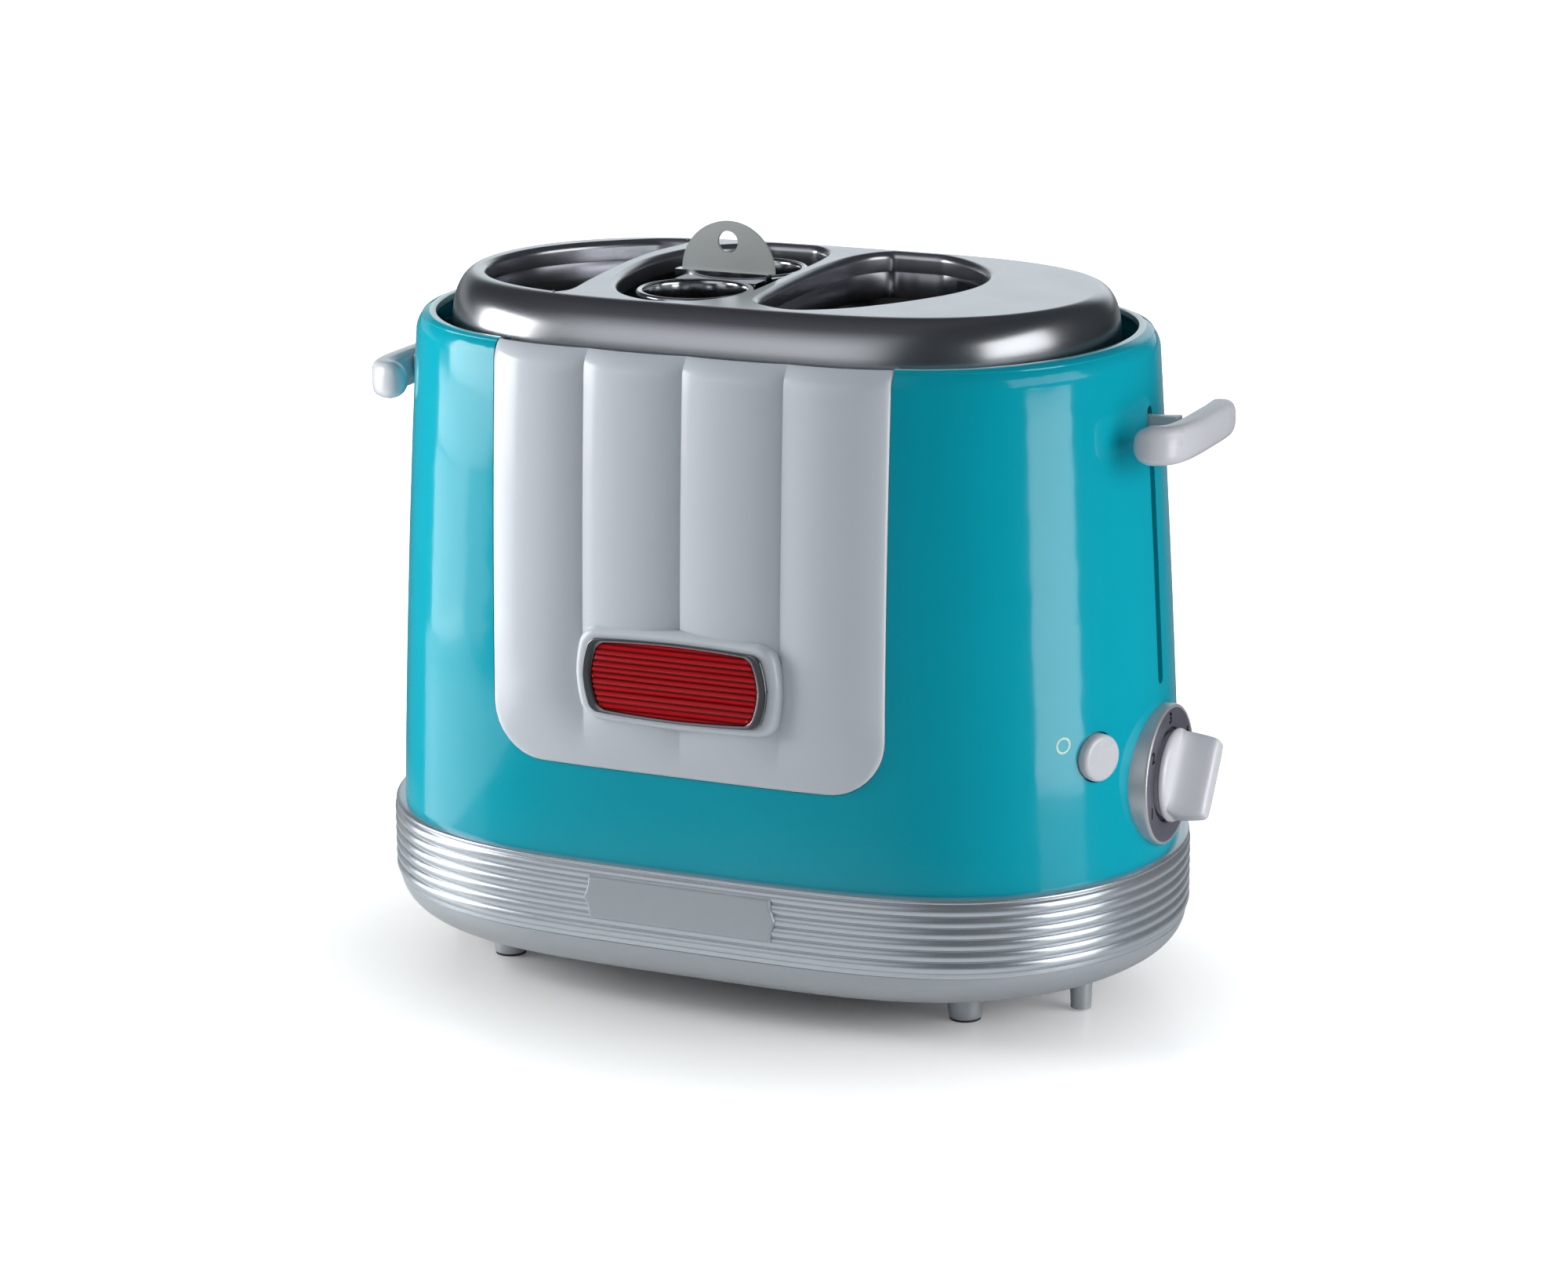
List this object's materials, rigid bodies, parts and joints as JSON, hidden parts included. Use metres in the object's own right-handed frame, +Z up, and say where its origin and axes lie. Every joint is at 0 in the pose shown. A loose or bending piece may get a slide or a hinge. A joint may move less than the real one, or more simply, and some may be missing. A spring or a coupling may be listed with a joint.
{
  "type": "hot dog toaster",
  "caption": "Pop-up toaster for sausages and buns, with a lift-out sausage cage between two bun slots, side levers, a browning dial, a stop button and a rear crumb tray.",
  "frame": {"origin": "centre of the footprint of the whole object, on the surface it stands on", "axes": "+X to the control end, +Y to the rear, +Z up"},
  "size_m": [0.2869, 0.1668, 0.2373],
  "materials": {
    "shell_paint": "gloss teal",
    "panel_white": "gloss white",
    "bright_trim": "polished",
    "badge_red": "ribbed, translucent red",
    "base_silver": "satin silver",
    "plate_silver": "satin silver",
    "plain_steel": "plain sheet",
    "dark_rubber": "matte",
    "cover_steel": "polished",
    "shield_aluminium": "mill finish",
    "mica": "matte mica",
    "heating_ribbon": "dull ribbon",
    "spring_steel": "wire",
    "coil": "wound bobbin",
    "board_green": "circuit board",
    "dark_plastic": "moulded",
    "lead_rubber": "insulated lead",
    "dial_silver": "satin grey silver",
    "lever_white": "gloss light grey",
    "knob_grey": "satin light grey",
    "cage_steel": "bright wire steel"
  },
  "bodies": {
    "housing": {"body_shell": "shell_paint", "front_panel": "panel_white", "badge_frame": "bright_trim", "badge_insert": "badge_red", "base_band": "base_silver", "name_plate": "plate_silver", "base_pan": "base_silver", "base_screws": "plain_steel", "feet": "base_silver", "foot_pads": "dark_rubber", "cord_wrap_pegs": "base_silver", "top_cover": "cover_steel", "chassis_base": "plain_steel", "heat_shield_front": "shield_aluminium", "heat_shield_rear": "shield_aluminium", "end_plate_right": "plain_steel", "bun_liner_left": "plain_steel", "bun_liner_right": "plain_steel", "rod_bracket_left": "plain_steel", "guide_rod_left": "plain_steel", "guide_rod_right": "plain_steel", "heater_board_left": "mica", "heater_board_right": "mica", "heater_winding_left": "heating_ribbon", "heater_winding_right": "heating_ribbon", "heater_supports": "mica", "return_spring": "spring_steel", "electromagnet": "coil", "control_board": "board_green", "board_parts": "dark_plastic", "terminal_block": "dark_plastic", "supply_leads": "lead_rubber", "cord_gland": "dark_rubber", "dial_ring": "dial_silver", "timer_body": "dark_plastic", "button_guide": "dark_plastic", "stop_switch": "dark_plastic"},
    "carriage": {"crossbar": "plain_steel", "lift_plate_left": "plain_steel", "lift_plate_right": "plain_steel", "guide_bush_left": "dark_plastic", "guide_bush_right": "dark_plastic", "lever_handle_left": "lever_white", "lever_handle_right": "lever_white", "bun_rack_left": "plain_steel", "bun_rack_right": "plain_steel", "cage_saddle": "plain_steel", "armature_plate": "plain_steel"},
    "sausage_cage": {"cage_plate": "cage_steel", "sausage_basket_front": "cage_steel", "sausage_basket_rear": "cage_steel", "lift_tab": "cage_steel"},
    "knob": {"timer_knob": "knob_grey", "timer_shaft": "plain_steel"},
    "button": {"stop_button": "lever_white"},
    "tray": {"crumb_tray": "base_silver"}
  },
  "joints": [
    {"name": "carriage_slide", "type": "slide", "parent": "housing", "child": "carriage", "axis": [0, 0, 1], "range_m": [-0.072, 0], "stiffness_N_per_m": 100, "springref_m": 0.06, "deforming": ["return_spring"]},
    {"name": "cage_lift", "type": "slide", "parent": "carriage", "child": "sausage_cage", "axis": [0, 0, 1], "range_m": [0, 0.12]},
    {"name": "knob_turn", "type": "hinge", "parent": "housing", "child": "knob", "pos_m": [0.12905, -0.0006, 0.0733], "axis": [-1, 0, 0], "range_deg": [0, 265]},
    {"name": "stop_button_press", "type": "slide", "parent": "housing", "child": "button", "axis": [-0.8972, 0.4417, 0], "range_m": [0, 0.002], "stiffness_N_per_m": 300, "springref_m": -0.002},
    {"name": "crumb_tray_slide", "type": "slide", "parent": "housing", "child": "tray", "axis": [0, 1, 0], "range_m": [0, 0.12]}
  ]
}
